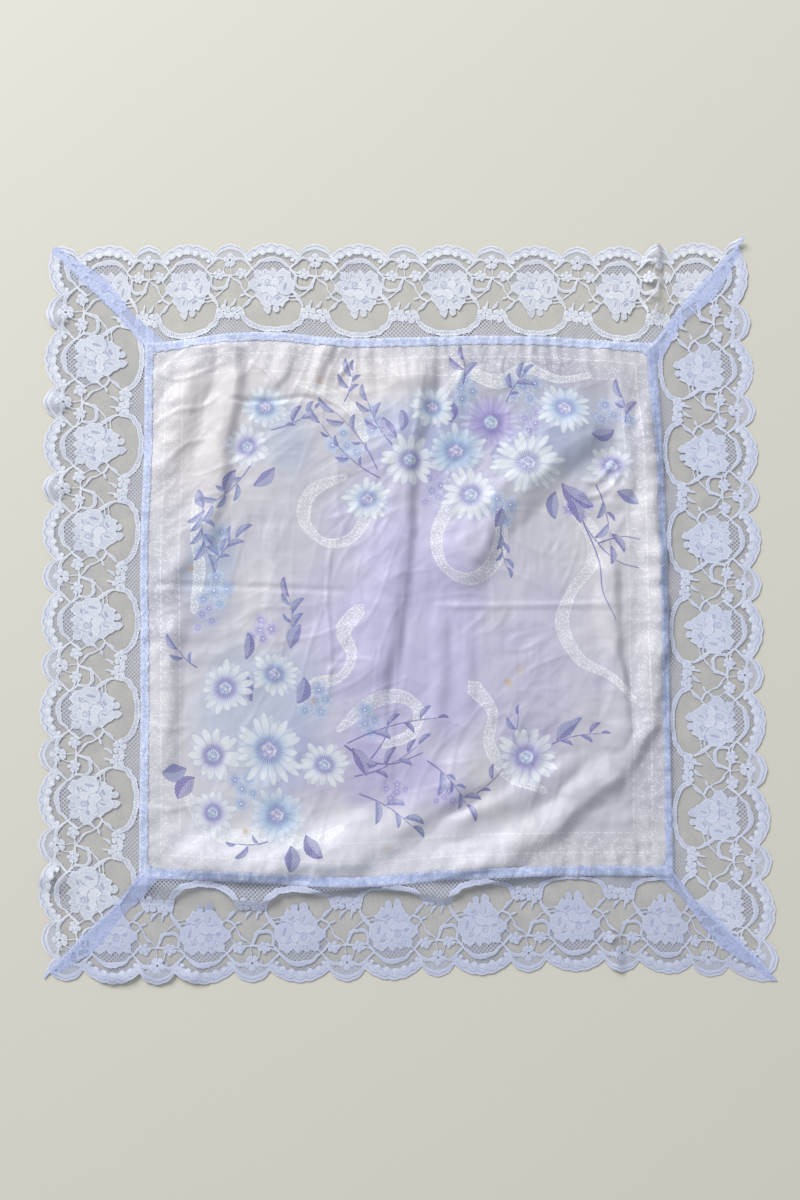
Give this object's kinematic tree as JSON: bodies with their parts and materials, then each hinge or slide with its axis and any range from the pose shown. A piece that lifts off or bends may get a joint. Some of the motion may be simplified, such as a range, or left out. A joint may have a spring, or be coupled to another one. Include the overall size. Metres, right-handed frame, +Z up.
{
  "type": "square lace scarf",
  "caption": "Square printed satin scarf with a wide scalloped lace border mitred at the corners, spread open and lying flat with soft folds.",
  "frame": {"origin": "middle of the spread cloth's box on the surface it lies on", "axes": "+Z up from the surface, +Y to the top edge of the scarf, +X to its right edge"},
  "size_m": [0.7057, 0.7251, 0.0102],
  "materials": {
    "satin": "printed satin with woven ribbon figures",
    "lace": "sheer machine lace with dense motifs"
  },
  "bodies": {
    "root": {"centre_panel": "satin", "lace_top": "lace", "lace_right": "lace", "lace_bottom": "lace", "lace_left": "lace"}
  },
  "joints": []
}
